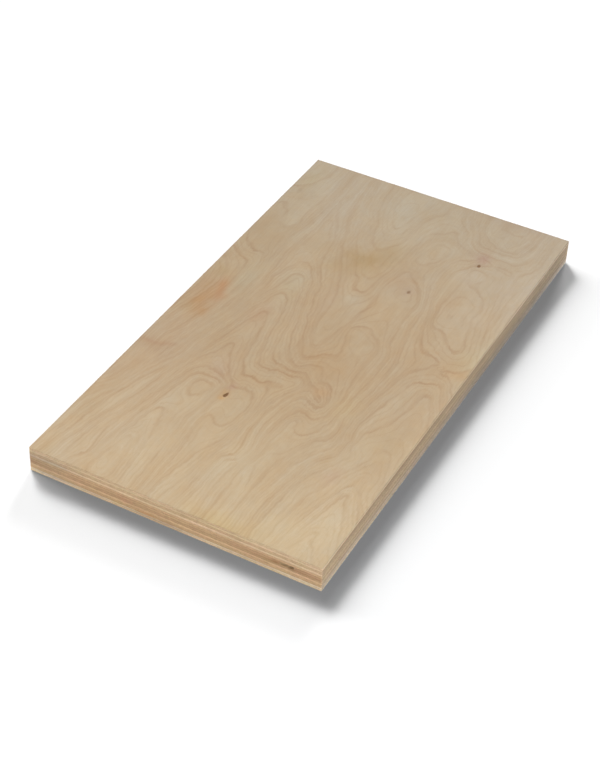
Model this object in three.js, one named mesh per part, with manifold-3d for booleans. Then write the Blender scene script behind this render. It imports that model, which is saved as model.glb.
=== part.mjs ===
// A birch plywood offcut, lying on its back veneer with the face grain along Y.
// Millimetres, +Z up. The origin is the centre of the underside.

import * as THREE from "three";
import { mergeVertices } from "three/addons/utils/BufferGeometryUtils.js";
import Module from "manifold-3d";

// --- Driving dimensions ---------------------------------------------------------------------

const PANEL_WIDTH = 165; // X, across the face grain
const PANEL_LENGTH = 305; // Y, along the face grain
const PANEL_THICKNESS = 15; // Z
const PLY_COUNT = 11; // odd, so that face and back grain run the same way
const INNER_PLY_THICKNESS = 1.44; // peeled veneer, after pressing
const ARRIS_RADIUS = 0.3; // rounding of the edges round the face and the back
const CORNER_RADIUS = 0.5; // rounding of the four upright corners
const CORNER_SEGMENTS = 4; // facets of a quarter circle, in both roundings

// The hole of a knot in the core veneer, cut open by the saw along the front edge (-Y).
// Each lobe is half an ellipse: where it is, half its width along the edge, and its depth.
const KNOT_HOLE_LOBES = [
  { x: 62.2, halfWidth: 2.0, depth: 0.7 },
  { x: 66.0, halfWidth: 1.6, depth: 1.1 },
];
const KNOT_HOLE_SEGMENTS = 32; // points round a lobe's ellipse

// --- Derived dimensions ---------------------------------------------------------------------

const INNER_PLY_COUNT = PLY_COUNT - 2;
const CORE_PLY_NUMBER = (PLY_COUNT + 1) / 2;
// Face and back are peeled like the rest, and lose some thickness when the panel is sanded.
const OUTER_PLY_THICKNESS = (PANEL_THICKNESS - INNER_PLY_COUNT * INNER_PLY_THICKNESS) / 2;
const FRONT_EDGE_Y = -PANEL_LENGTH / 2;
const CUT_MARGIN = 5; // how far a cutting block stands out of the panel

const wasm = await Module();
wasm.setup();

// --- Solids: three.js geometry to manifold-3d and back --------------------------------------

function solidFromGeometry(geometry) {
  const bare = geometry.clone();
  bare.deleteAttribute("normal");
  bare.deleteAttribute("uv");
  const welded = mergeVertices(bare, 1e-4);
  return new wasm.Manifold(
    new wasm.Mesh({
      numProp: 3,
      vertProperties: new Float32Array(welded.attributes.position.array),
      triVerts: new Uint32Array(welded.index.array),
    }),
  );
}

function geometryFromSolid(solid) {
  const mesh = solid.getMesh();
  const indexed = new THREE.BufferGeometry();
  indexed.setAttribute("position", new THREE.BufferAttribute(mesh.vertProperties, 3));
  indexed.setIndex(new THREE.BufferAttribute(mesh.triVerts, 1));
  const faceted = indexed.toNonIndexed();
  faceted.computeVertexNormals();
  return faceted;
}

// --- The panel as it leaves the saw and the sander ------------------------------------------

function roundedRectangle(width, length, radius) {
  const right = width / 2;
  const back = length / 2;
  const outline = new THREE.Shape();
  outline.absarc(right - radius, back - radius, radius, 0, Math.PI / 2);
  outline.absarc(-right + radius, back - radius, radius, Math.PI / 2, Math.PI);
  outline.absarc(-right + radius, -back + radius, radius, Math.PI, 1.5 * Math.PI);
  outline.absarc(right - radius, -back + radius, radius, 1.5 * Math.PI, 2 * Math.PI);
  return outline;
}

// The whole board, with its upright corners and the edges round both faces eased.
function panelSolid() {
  const board = new THREE.ExtrudeGeometry(
    roundedRectangle(PANEL_WIDTH, PANEL_LENGTH, CORNER_RADIUS),
    {
      depth: PANEL_THICKNESS - 2 * ARRIS_RADIUS,
      curveSegments: CORNER_SEGMENTS,
      bevelEnabled: true,
      bevelThickness: ARRIS_RADIUS,
      bevelSize: ARRIS_RADIUS,
      bevelOffset: -ARRIS_RADIUS,
      bevelSegments: CORNER_SEGMENTS,
    },
  );
  board.translate(0, 0, ARRIS_RADIUS);
  return solidFromGeometry(board);
}

// A block over the whole board between two glue lines.
function layerBlock(bottom, top) {
  const block = new THREE.BoxGeometry(
    PANEL_WIDTH + 2 * CUT_MARGIN,
    PANEL_LENGTH + 2 * CUT_MARGIN,
    top - bottom,
  );
  block.translate(0, 0, (bottom + top) / 2);
  return solidFromGeometry(block);
}

// The knot hole goes right through its veneer, so each lobe is an upright elliptical plug.
function knotHoleLobe({ x, halfWidth, depth }, bottom, top) {
  const ellipse = new THREE.Shape();
  ellipse.absellipse(x, FRONT_EDGE_Y, halfWidth, depth, 0, 2 * Math.PI);
  const plug = new THREE.ExtrudeGeometry(ellipse, {
    depth: top - bottom + 2 * CUT_MARGIN,
    curveSegments: KNOT_HOLE_SEGMENTS,
    bevelEnabled: false,
  });
  plug.translate(0, 0, bottom - CUT_MARGIN);
  return solidFromGeometry(plug);
}

// --- The plies, counted from the face down --------------------------------------------------

// Grain runs along Y in the odd plies, face and back among them, and along X in the even ones.
function plyName(number) {
  if (number === 1) return "face_veneer";
  if (number === PLY_COUNT) return "back_veneer";
  const place = String(number).padStart(2, "0");
  if (number === CORE_PLY_NUMBER) return `core_veneer_${place}`;
  return number % 2 === 0 ? `crossband_${place}` : `long_band_${place}`;
}

// Height of the glue line, or of the outer surface, above the ply with this number.
function plyTop(number) {
  if (number === 1) return PANEL_THICKNESS;
  if (number > PLY_COUNT) return 0;
  return PANEL_THICKNESS - OUTER_PLY_THICKNESS - (number - 2) * INNER_PLY_THICKNESS;
}

const veneerMaterials = {
  face: { color: 0xd2b894, roughness: 0.55 },
  longGrain: { color: 0xb0906c, roughness: 0.85 }, // end grain shows on the front edge
  crossGrain: { color: 0xcdb08a, roughness: 0.75 },
  core: { color: 0xab8c68, roughness: 0.8 },
};

function plyMaterial(number) {
  let look = number % 2 === 0 ? veneerMaterials.crossGrain : veneerMaterials.longGrain;
  if (number === 1 || number === PLY_COUNT) look = veneerMaterials.face;
  if (number === CORE_PLY_NUMBER) look = veneerMaterials.core;
  return new THREE.MeshStandardMaterial({ ...look, metalness: 0 });
}

// --- Assembly -------------------------------------------------------------------------------

const panel = panelSolid();
const plywood = new THREE.Group();
plywood.name = "plywood_sheet";

for (let number = 1; number <= PLY_COUNT; number++) {
  const top = plyTop(number);
  const bottom = plyTop(number + 1);
  let ply = panel.intersect(layerBlock(bottom, top));
  if (number === CORE_PLY_NUMBER) {
    for (const lobe of KNOT_HOLE_LOBES) ply = ply.subtract(knotHoleLobe(lobe, bottom, top));
  }
  const mesh = new THREE.Mesh(geometryFromSolid(ply), plyMaterial(number));
  mesh.name = plyName(number);
  plywood.add(mesh);
}

export default plywood;
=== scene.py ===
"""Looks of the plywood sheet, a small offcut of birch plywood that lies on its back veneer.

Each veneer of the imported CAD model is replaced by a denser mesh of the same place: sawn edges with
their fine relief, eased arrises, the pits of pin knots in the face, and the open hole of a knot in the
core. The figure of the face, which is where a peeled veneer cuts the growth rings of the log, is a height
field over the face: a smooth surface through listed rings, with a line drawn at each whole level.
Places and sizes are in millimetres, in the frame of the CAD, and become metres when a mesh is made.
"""

import math

import bpy
import numpy as np
from mathutils import Matrix, Vector


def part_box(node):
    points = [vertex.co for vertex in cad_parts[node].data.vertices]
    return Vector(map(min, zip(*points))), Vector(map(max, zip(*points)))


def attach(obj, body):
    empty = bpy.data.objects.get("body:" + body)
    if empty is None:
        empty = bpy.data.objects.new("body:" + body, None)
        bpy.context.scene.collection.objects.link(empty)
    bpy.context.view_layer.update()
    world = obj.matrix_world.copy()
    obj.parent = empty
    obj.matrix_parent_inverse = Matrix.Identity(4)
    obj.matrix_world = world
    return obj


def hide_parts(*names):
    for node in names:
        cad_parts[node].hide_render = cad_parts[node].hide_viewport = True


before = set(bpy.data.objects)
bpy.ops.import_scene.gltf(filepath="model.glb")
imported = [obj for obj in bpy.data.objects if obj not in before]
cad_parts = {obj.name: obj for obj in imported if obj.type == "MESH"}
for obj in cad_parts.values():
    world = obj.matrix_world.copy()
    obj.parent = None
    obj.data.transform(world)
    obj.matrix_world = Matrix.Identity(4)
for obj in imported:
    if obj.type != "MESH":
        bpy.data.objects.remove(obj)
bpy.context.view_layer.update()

MM = 0.001

# --- The board, from the frame ---

face_low, face_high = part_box("face_veneer")
WIDTH = (face_high.x - face_low.x) / MM
LENGTH = (face_high.y - face_low.y) / MM
THICKNESS = face_high.z / MM

CORNER_RADIUS = 0.5  # rounding of the four upright corners
ARRIS_RADIUS = 0.3  # largest rounding of the edges round the face and the back
ARRIS_RADIUS_LEAST = 0.12
BACK_SHIFT = 200.0  # takes the arrises of the back from another place of their noise
GLUE_WAVE = 0.07  # how far a glue line strays from its level

# Depth of the saw's fine marks, all of them inward, and shares of it.
SAW_DEPTH = 0.045
SAW_RIDGES = 0.35  # the blade's ridges, on every edge
END_GRAIN_CUT = 0.35  # what end grain loses besides
TORN_FIBRES = 0.9  # and where its fibres tore out
GLUE_GROOVE = 0.5  # next to a glue line

# Veneers from the face down, with the axis that their grain follows.
VENEERS = sorted(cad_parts, key=lambda node: -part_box(node)[1].z)
GRAIN = {node: "y" if number % 2 == 0 else "x" for number, node in enumerate(VENEERS)}
CORE = VENEERS[len(VENEERS) // 2]


# --- Growth rings of the face ---

# A level, then x across and y along of each point of its ring.
RINGS = (
    # Arch family on the left, from the inside out.
    (0, -52.3,-72, -49.7,-60, -48.3,-55, -45.5,-46.5, -43,-42, -40.5,-36, -38.3,-31, -36.5,-30.5, -34,-36,
     -29.8,-44, -24,-54, -21.3,-60.5),
    (0, -18.5,-60, -13,-58.6, -8,-60.8, -5,-66, -4,-73, -4.8,-80, -6.5,-86, -9.5,-89.7, -13,-89.5,
     -16.5,-86.5, -18.6,-86, -19.5,-95, -18.5,-105, -17.5,-118, -17,-130, -17,-150),
    (0, -53.5,-79, -56,-92, -58.5,-105, -61.5,-112, -63.5,-120, -65,-131, -66,-150),
    (1, -69,-133, -66,-117, -62.5,-103, -58.5,-89, -56,-74, -53.6,-60, -51,-53, -48,-40, -44.5,-27, -43,-20,
     -41,-10, -38,-1, -36,3.2, -33,0, -30.8,-6, -29.3,-15, -27,-30, -25,-38, -22.5,-43, -20,-48.5,
     -17.5,-50, -14.5,-47.8, -10,-50, -5.5,-48, -3.2,-52, -0.6,-58, 0.2,-68, -1,-80, -2,-92, -4,-100,
     -8,-113, -11.5,-127, -13.6,-138, -14.5,-150),
    (2, -73,-118, -68.5,-95, -63.5,-78, -58.3,-64, -54.5,-53, -52.8,-46, -50.3,-35, -48,-22, -46,-13,
     -43.3,0, -40.5,10, -38.5,19, -34.7,23.5, -31,20, -28.7,12, -25.5,0, -24.5,-10, -22,-20, -19.5,-29,
     -16.5,-36.5, -11,-39, -5,-37, 1,-36.7, 7,-36, 10.5,-38, 11.6,-42, 9.5,-48, 6,-55, 3.5,-63, 2.5,-72,
     2,-84, 1,-97, -1.3,-108, -3,-118, -5.5,-135, -8.5,-149),
    (3, -57,-44, -53,-28, -50.5,-12, -48,0, -46,10, -43,22, -41,32, -38.5,40, -35,43, -31.5,40.5, -27.5,30,
     -24.3,18, -22,9, -19.6,0, -18,-9, -15.5,-21, -13,-27, -9.5,-31, -4,-32.5, 3,-32, 9,-32.8, 13,-36.5,
     19,-41.5, 25.5,-48.5, 21.5,-46.4, 15.5,-44.5, 13,-47.5, 9,-56, 6.2,-67, 5.4,-78, 6.3,-90, 8.3,-100,
     7.2,-106, 2.6,-109, 1.5,-117, 0.5,-132, -1,-150),
    (4, -60,-42, -55.5,-25, -52.5,-10, -50,0, -48.4,12, -47.2,24, -47.6,34, -45.3,44, -42,50, -37.3,55.5,
     -34,52, -30,46, -26.4,40, -23.5,28, -21,18, -17.5,7.5, -14.3,-3, -11.7,-11.5, -9,-18, -5.5,-23.5,
     -0.5,-27, 5,-25.4, 10.5,-23.5, 14.8,-25, 17.5,-30, 20,-34, 24,-34.8, 27,-38.5, 28.8,-44, 29,-49,
     27.3,-53, 24.5,-54, 20.5,-51.3, 16,-51.5, 12.5,-56.5, 10.8,-66, 9.8,-77, 10.5,-87, 12.6,-98, 11,-107.5,
     6.3,-111.5, 5,-118, 4.5,-130, 3.5,-150),
    (5, -47,150, -46.5,130, -47.5,114, -43.5,102, -38.5,92, -35,83, -32.7,72, -31.5,64, -29,55, -25.5,48.5,
     -20.8,40, -19,30, -16,20, -14,12, -11,5, -8.5,-1.5, -6,-9, -3,-15.5, 0.5,-19.3, 4.5,-18, 9,-13.5,
     14.5,-11, 15.5,-6.5, 13.5,1, 11.3,8, 10.6,14, 14.5,17.5, 20,19, 22.5,15, 26.5,13, 30,8.5, 31.8,2,
     31,-8, 32.3,-18, 33.6,-30, 35,-43, 34,-53, 32,-60, 28,-62.7, 24,-61.2, 20,-59.3, 17,-64, 15.2,-73,
     14.5,-84, 15.8,-96, 13.5,-109, 11,-119, 10.5,-133, 12.5,-150),
    (5, -51,145, -50.3,125, -50,108, -49,92, -50.5,76, -52,60, -51.8,42, -50.7,27, -52.8,8, -55,-8, -58,-22,
     -60.5,-32, -63,-43, -66,-55, -69,-70, -73,-88),
    (6, -42.5,145, -41,131, -39.8,124, -38.5,112, -36,104, -32.5,95, -29.5,86, -26.5,75.5, -22.5,66,
     -18.5,57.5, -14,48.5, -10.8,40, -9,30, -8,20, -7,9, -4,-2, -0.5,-9, 3,-7, 5.5,3, 7,14, 9.5,26, 10.4,40,
     9.8,52, 10.3,63, 12.5,73, 16,77, 19,73, 22.5,69.5, 27,66.5, 30.7,60, 32.8,52, 32.8,40, 33.2,28, 35,15,
     38.5,8, 40,0, 40,-12, 40.3,-24, 38.7,-40, 38.3,-52, 37.5,-61, 35,-68.5, 31,-73.3, 27,-75.5, 23.3,-72.7,
     21,-67, 19.3,-72, 18.2,-84, 18.2,-95, 16.3,-108, 16,-120, 17,-137, 17,-150),
    (6, 22,110.5, 26.5,109.5, 28.3,105, 26,96, 22,90.5, 17,85.8, 14.6,89.5, 15.5,97, 17.5,105.5),
    (6, -55,145, -54,128, -53,112, -54,98, -55.4,86, -57.7,74, -57.3,60, -57.8,48, -56.5,40, -54.8,28,
     -56,12, -58.5,-5, -61.5,-18, -64.5,-30, -68.5,-46),
    (7, -39,152, -36.5,135, -34,122, -30.5,110, -27.2,98, -23,87, -19,80.5, -15.3,73.5, -12.8,66.5, -9.5,61,
     -6.3,58.5, -4.5,51, -1.3,47, 1.8,47.5, 3.7,53, 4.3,63, 6.3,75, 7.3,90, 8,106, 9.5,115, 12,119.3,
     16.5,120, 20.5,125, 25,121, 30,116, 35,112, 40,109.7, 43.5,109.5),
    (7, 42.5,105.5, 36,102, 32.5,95, 30.8,82, 32.3,71, 35.5,60, 38,50, 38.6,38, 40,27, 42.5,14.5, 45.4,1,
     45.3,-12, 44.3,-28, 43.2,-42, 42,-54, 44,-64, 42,-71, 37.3,-77, 33.3,-86, 30,-96, 27.6,-107, 27.2,-120,
     27.2,-135, 27,-150),
    (7, -60,150, -60,132, -60.3,112, -61.3,98, -60.5,87, -63.5,81, -67,80.5, -70,85, -72.5,94, -78,101),
    (7, -79,60, -73,54, -68,50.8, -62.5,49.8, -60.5,42, -60,30),
    (8, -29.5,150, -28.6,137, -26.3,124, -24,116, -21,110.5, -18.2,101, -15.2,93.5, -12,89.5, -8.8,88,
     -5.5,91, -2,97, 0.2,106, 1.2,116, 2.5,127, 5.5,133, 9,139, 10,149),
    (8, 17,150, 20,140.5, 24,134.5, 28.5,129, 31.5,122, 35.5,116.5, 40,112.7, 43,111.3),
    (8, 52,108, 58,107.5, 64,106.5, 69,103.5, 71.3,97, 71,84, 73,68, 75,52, 77.5,38, 80,27, 82.5,20),
    (8, 43.5,98, 38.5,91, 37.3,80, 38.2,68, 40.5,54.5, 43,44.5, 45,34, 47.5,26, 52,18.5, 57,15, 61.5,14,
     65.6,10.8, 62.5,6.8, 58,1, 54,-5, 52.3,-13, 50.3,-23, 48.3,-36, 46.5,-50, 46.7,-61, 48,-70, 45.5,-78,
     41,-87, 36.7,-97, 35,-108, 33.3,-122, 32,-138, 33,-150),
    (8, 82,17, 79,13, 75,8.8, 71,8, 69,6, 72,3.8, 76,1.5, 79.5,-4, 82.3,-9),
    (9, -20,142, -18.8,131.5, -15.3,121, -12.8,115, -9.3,111.7, -7.6,114.5, -6,123, -4.3,131, -1.5,143,
     -0.5,150),
    (9, 23,147, 27,137.5, 30.5,130, 34,121, 38,116.5, 42,113, 46,114.3, 50,115, 56,113.8, 64,113.3,
     67.6,116, 70.3,122, 71.3,133, 72,150),
    (9, 45.6,97, 45.5,84, 45.1,70, 44.3,58, 46,44.5, 48.3,39.5, 53.5,38, 58,33.5, 62.3,27.8, 66,26.5, 70,27,
     69.6,33.5, 67,45, 64.6,54, 65.3,66, 62,75, 56,80.5, 50.5,85, 46.8,90),
    (9, 82,-24, 78.5,-15, 75.5,-8.5, 72,-4.7, 66,-7.2, 61.5,-9, 58.8,-15, 56,-28, 52.5,-44, 50.9,-56,
     52.6,-67, 51.8,-77, 46.8,-87, 43,-96, 40.3,-107, 38.7,-122, 37.5,-150),
    (10, 29,147, 32.3,137, 36,127.5, 39.5,122, 45,121, 53,120.5, 60,120.8, 65,125.5, 67.2,135, 68,150),
    (10, 81.5,-38, 77.5,-26, 74,-18.7, 71,-16.6, 69,-19.5, 67,-30, 64.7,-41, 60.5,-51.5, 56.3,-60, 55.3,-69,
     58.2,-77, 54,-86, 47,-99, 43.3,-113, 42.8,-124, 41.3,-148),
    (11, 34,148, 36,134.5, 41,128.8, 47,125.8, 54,124.2, 59.3,124.7, 61.2,130, 64.5,139, 65,150),
    (11, 81.5,-90, 78.5,-77, 75.5,-68.8, 72,-65.2, 69,-67, 66.7,-76, 61.3,-88.5, 57.5,-98, 53.3,-110,
     51,-125, 49.5,-148),
    (12, 82,-117, 78,-107, 73.5,-98, 70.8,-86.5, 68.3,-93, 63.3,-108.5, 60,-121, 57.3,-136, 55.5,-150),
    (13, 80,-132, 76,-119, 71,-108.5, 68.3,-104.5, 66,-112, 63.3,-127, 60,-143, 58.5,-151),
    (14, 76.3,-151, 73,-144, 68.5,-138, 66.3,-134, 64.3,-142, 61,-151),
    # Swirl and arch at the lower left.
    (-1, -56.5,-110, -52.8,-94, -50,-82, -48.8,-75, -46.6,-65, -44.8,-58.5, -41.5,-52.5, -36,-51,
     -30.5,-52.5, -25.5,-56, -22,-60.5),
    (-1, -21.8,-70, -22.3,-82, -23.7,-92, -22.8,-101, -21.3,-113, -20.3,-130, -20,-150),
    (-2, -53,-140, -52.3,-120, -49.8,-101, -47.3,-88, -45,-76, -43,-65, -40.3,-59.5, -35,-58.3, -29,-57.8,
     -25,-62, -24,-71, -26,-84, -27.6,-94, -26.8,-110, -25,-126, -24,-150),
    (-3, -38.3,-73, -37.6,-66.5, -34.5,-63, -30.5,-63.2, -27.5,-66.5, -29,-72, -33.3,-77, -36.5,-75.5),
    (-3, -47.5,-106, -46.3,-99, -44.5,-94.8, -42,-93, -39.3,-95.5, -37.3,-103, -35.6,-114, -34.3,-128,
     -32.5,-142, -31.3,-150),
    (-4, -50.3,-148, -49.5,-137, -47,-127.5, -44.5,-119.5, -42,-124.5, -39,-131.5, -37,-145),
)
# Heights of places between rings: x, y, level.
RING_SPOTS = (
    (-48.5,125,4.6),(-46.5,95,4.5),(-44,80,4.4),(-44,66,4.4),(22,102,5.4),(16.5,81.5,6.5),(67.5,8.5,8.4),
    (-40,-84,-2.35),(-32,-68.5,-3.4),(-44,-106,-3.5),(-44,-138,-4.5),(-12.5,-74,-.5),(55,60,9.6),
    (56,100,8.6),(50,138,11.7),(24,60,5.5),(21,45,5.55),(21,5,4.45),(22,-15,4.6),(22,-35.5,3.75),
    (-10,130,9.6),(72,-35,10.5),(73,-100,12.4),(73,-75,11.4),(70,-145,14.5),(12.5,148,7.5),(-36,15,1.5),
    (-36,-15,.5),(28,-68,5.5),(24,-88,6.4),
)

# --- Steps of the meshes ---

FACE_STEP = 0.95
BACK_STEP = 2.5
RIM_STEP = 0.5
EASED_STEPS = (0.0, 0.04, 0.12, 0.25, 0.5)  # grid lines next to an edge, for its two roundings
LEAST_STEP = 0.03
SHARP_ANGLE = 50  # degrees between two faces from which the edge between them is shaded sharp
# Shares of a veneer's height where its sawn edge has a row of points.
INNER_ROWS = (0.0, 0.05, 0.2, 0.4, 0.6, 0.8, 0.95, 1.0)
OUTER_ROWS = (0.1, 0.3, 0.55, 0.8, 1.0)

# --- Map that a baked copy is drawn on: sawn edges as strips, and lids as fields ---

MAP_MARGIN = 0.01
INNER_STRIP = (8, 0.27, 0.99)  # rows, and the lowest and highest v
LOWER_LID = (0.01, 0.01, 0.47, 0.24)  # u, v, width, height
UPPER_LID = (0.52, 0.01, 0.47, 0.24)
OUTER_STRIP = (4, 0.01, 0.1)
OUTER_LID = (0.01, 0.11, 0.98, 0.05)
OUTER_GRID_START = 0.175
ROW_GAP = 0.1  # left free on both sides of a strip's row

# --- Knots ---

# The open hole in the core: centre, half width and depth of its two lobes.
KNOT_HOLE_LOBES = ((62.2, 2.0, 0.7), (66.0, 1.6, 1.1))
HOLE_POINTS = 48  # round one lobe
HOLE_WANDER = 0.12
WALL_RELIEF = 0.15
BOWL_LEAST = 0.15  # the hole's reach at its glue lines, as a share of that at mid height
# Pin knots of the face: place, half width and half length, depth of the pit, darkness.
PIN_KNOTS = (
    ((-18.7, -67.3), (0.85, 1.9), 0.1, 1.0),
    ((-19.1, -68.6), (1.05, 1.3), 0.06, 1.0),
    ((23.9, 59.9), (1.3, 2.0), 0.06, 0.58),
    ((47.4, 102.7), (1.05, 1.6), 0.12, 1.0),
)
PIN_SHARPNESS = 1.5  # of a knot's outline: more than 1 makes it firmer than a stain's
# Extra grid lines round a pin knot.
PIN_LINES_X = np.linspace(-1.6, 1.6, 11)
PIN_LINES_Y = np.linspace(-2.6, 2.6, 14)

# --- Stains: place, size, colour that multiplies the wood's, and turn in degrees ---

STAINS = (
    # Broad ones: darker and warmer on the left, paler on the right.
    ((88,20), (50,130), (1.06,1.075,1.12)),
    ((-70,62), (21,58), (0.94,0.925,0.87)),
    ((-75,-108), (11,22), (0.94,0.92,0.88)),
    ((-75,-55), (20,40), (1,0.985,0.98)),
    ((-72,-10), (34,150), (1,1.012,1.055)),
    ((-50,118), (18,40), (1.035,1.04,1.06)),
    ((80,105), (20,50), (1,1,1.03)),
    ((84,-35), (10,50), (1.07,1.09,1.12)),
    ((84,90), (18,60), (1.03,1.06,1.1)),
    ((82,25), (10,22), (1.03,1.1,1.14)),
    ((73,-120), (15,28), (1.07,1.1,1.13)),
    ((48,-147), (24,15), (1.08,1.13,1.16)),
    ((0,155), (90,6), (0.97,0.94,0.9)),
    ((5,141), (16,9), (0.96,0.93,0.89)),
    ((-2,91), (7,7), (0.96,0.93,0.86)),
    ((-38,73), (9,8), (0.96,0.93,0.87)),
    ((-24,63), (5,7), (0.97,0.95,0.88)),
    ((50,64), (5,10), (0.96,0.91,0.86)),
    ((-12,30), (4,22), (1,1.01,1.06)),
    ((-75,-14), (6,7), (0.97,0.94,0.84)),
    ((76,20), (9,12), (0.96,0.93,0.87)),
    ((42,-115), (6,32), (0.98,1.01,1.06)),
    ((-76,132), (5,12), (0.96,0.95,0.87)),
    ((-75,-147.5), (3,9), (0.92,0.87,0.78)),
    ((-70.5,-151), (3,3.5), (0.94,0.92,0.88)),
    ((2,6), (4,9), (0.96,0.93,0.88)),
    # Mineral stain and warm patches.
    ((-70.5,3), (9,18), (0.985,0.9,0.8)),
    ((-67.8,13), (2.3,5.5), (1.03,0.85,0.72), 12),
    ((-64.8,4), (2.6,6), (0.97,0.83,0.75), 10),
    ((-73,-5), (3.2,6), (1,0.89,0.73)),
    ((-66.5,-13.5), (4,4), (0.99,0.89,0.77)),
    ((-69,6), (5,14), (1,0.94,0.87)),
    ((-77,78), (6,26), (0.94,0.89,0.82)),
    ((-76,24), (5,6), (0.95,0.91,0.79)),
    ((-7.5,75), (11,18), (0.89,0.8,0.62), -42),
    ((-14,75), (8,6), (0.95,0.92,0.84)),
    ((18.5,67), (6.5,10), (0.92,0.86,0.82)),
    ((21,100), (5,9), (0.98,0.91,0.81)),
    ((14,-19), (16,14), (0.98,0.91,0.82)),
    ((22,-41), (5.5,5), (1,0.9,0.8), -30),
    ((78,9), (7.5,4.5), (0.98,0.86,0.74), 15),
    ((-75,-50), (9,4.5), (0.94,0.89,0.85)),
    ((-76,-49.5), (5,1.3), (0.95,0.88,0.86)),
    ((-67.5,-47.3), (4.5,1.5), (0.95,0.88,0.85), 22),
    ((-5,-50), (10,4), (0.98,0.95,0.91)),
    ((-37,0), (5,12), (0.97,0.92,0.91)),
    ((-50,-10), (12,30), (0.985,0.985,0.97)),
    ((71,-61), (11,13), (0.97,0.93,0.86)),
    ((57,-95), (4,7), (0.98,0.93,0.94)),
    ((50,152), (17,8), (0.92,0.88,0.88)),
    ((25,-151), (18,7), (0.98,0.94,0.8)),
    # Pale patches.
    ((-35,32), (7,14), (0.98,1.03,1.06)),
    ((2,36), (9,12), (1.01,1.06,1.14)),
    ((-60,26), (7,17), (0.98,1.05,1.1)),
    ((48,90), (9,10), (1.05,1.08,1.15)),
    ((39,-47), (7,9), (1.05,1.08,1.06)),
    ((10,-112), (12,14), (1.02,1.05,1.08)),
    # Round the knots.
    ((-19.4,-68.3), (2.6,4.2), (1.02,0.9,0.74)),
    ((-19.6,-71.6), (1.6,1.3), (1.05,0.94,0.75)),
    ((-19,-60.8), (2,3.2), (0.93,0.86,0.93)),
    ((-31.5,-50), (6,10), (0.99,0.99,1.07), 25),
    ((47,110.5), (4.5,5.5), (0.95,0.83,0.89), 15),
    ((23.8,60.5), (3.4,4.5), (0.94,0.91,0.93)),
    ((-76,117.5), (1.6,2.6), (0.88,0.84,0.8)),
)

# Where the rings' lines are stronger or fainter than elsewhere: place, size, factor.
RING_STRENGTH = (
    ((15,8), (34,40), 1.15),
    ((-35,-105), (18,40), 0.78),
    ((-33,-70), (9,12), 0.75),
    ((72,-140), (16,20), 0.5),
    ((64,103), (12,10), 0.6),
)

# Stains of the sawn edges, with painted light on the right edge: place along the edge and height, size,
# colour.
FRONT_STAINS = (
    ((0,13.7), (300,0.5), (0.955,0.95,0.955)),
    ((36,11.7), (46,0.8), (0.93,0.91,0.88)),
    ((-70,6), (13,9), (0.91,0.94,0.98)),
    ((-81,9), (8,5), (0.8,0.81,0.85)),
    ((-66,11.5), (8,3), (0.93,0.93,0.98)),
    ((20,13.5), (16,2), (0.96,0.94,0.91)),
    ((-70,10.3), (15,1.1), (0.8,0.84,0.88)),
    ((-66,1.7), (12,0.8), (0.9,0.88,0.88)),
    ((50,6.8), (12,1.6), (0.92,0.88,0.84)),
    ((58,7.3), (3.5,1.2), (0.8,0.7,0.64)),
    ((66,7.1), (5.5,1.3), (0.76,0.73,0.69)),
    ((75,7.2), (9,1.5), (0.88,0.79,0.8)),
    ((53,4.2), (1.8,0.9), (0.86,0.84,0.8)),
    ((-5,1.5), (15,1.9), (0.83,0.8,0.79)),
    ((-14,3), (5,0.9), (1.06,0.94,0.82)),
    ((-27,6.5), (4.5,1.6), (1.02,0.93,0.96)),
    ((-31,1.8), (4,0.9), (1,1.02,0.86)),
    ((-70,1.2), (14,1.3), (1.04,1.09,1.16)),
    ((74,1.3), (12,1.3), (1.05,1.1,1.12)),
)

# Painted light: the lowest veneers paler towards both ends, as light off the white floor.
# Painted light: the near end lighter and the far end cooler, where the light falls off along the edge.
RIGHT_STAINS_AND_PAINTED_LIGHT = (
    ((0,14.4), (500,0.6), (0.95,0.94,0.93)),
    ((-148,8), (30,9), (1.06,1.05,1.03)),
    ((130,7), (90,20), (0.95,1,1.08)),
    ((140,0.5), (25,2), (1.25,1.3,1.4)),
    ((55,3.5), (60,4), (0.82,0.84,0.87)),
    ((-130,0.6), (35,2), (1.16,1.2,1.22)),
    ((-80,12.5), (60,1.2), (0.94,0.9,0.87)),
    ((100,14.3), (55,2.4), (1.2,1.21,1.27)),
    ((-115,0), (55,1.6), (1.34,1.28,1.1)),
    ((142,0), (25,2), (1.5,1.55,1.5)),
)
STAIN_RAGGED = 0.25  # how far a stain's outline strays, as a share of its smaller size
EDGE_RAGGED = (0.24, 0.3)  # the same on an edge, along it and in height
TINTS = ("tint_red", "tint_green", "tint_blue")  # values that multiply the wood's colour

# --- Drawing of the rings ---

RING_STEP = 5.0  # between the points that hold the surface on a ring
RING_SCALE = 20.0  # unit of length of the surface's equations
RING_SLACK = 0.005
# How far noise moves a place of a ring: in columns of fibre, in long waves, and across the grain.
FIBRE_PUSH = 3.0
SWAY_ALONG = 9.0
RIPPLE_ACROSS = 3.0
LEAST_SLOPE = 0.035  # in rings per millimetre, so that no line grows too wide
# A line and its halo: where they begin, peak and end, from the lower side of a ring to the upper.
LINE = (-2.0, 0.0, 1.6)
HALO = (-4.5, 0.0, 0.8)
LINE_SHARE = 0.7
HALO_SHARE = 0.5
# Fainter rings between the main ones.
MINOR_RINGS = 3.0
MINOR_WANDER = 2.0
MINOR_WIDTH = 0.8
MINOR_SHARE = 0.46
# Strength of the rings: lowest and highest value of what changes it, and the strength at both.
TIP_STRENGTH = (0.2, 0.95, 0.6, 1.25)  # stronger where a ring crosses the grain
PATCH_STRENGTH = (0.3, 0.7, 0.5, 1.3)
CROWD_STRENGTH = (0.22, 0.5, 1.0, 0.4)  # fainter where rings are close together
FAR_STRENGTH = (0.6, 0.85, 1.0, 0.6)  # fainter towards the far edge
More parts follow.
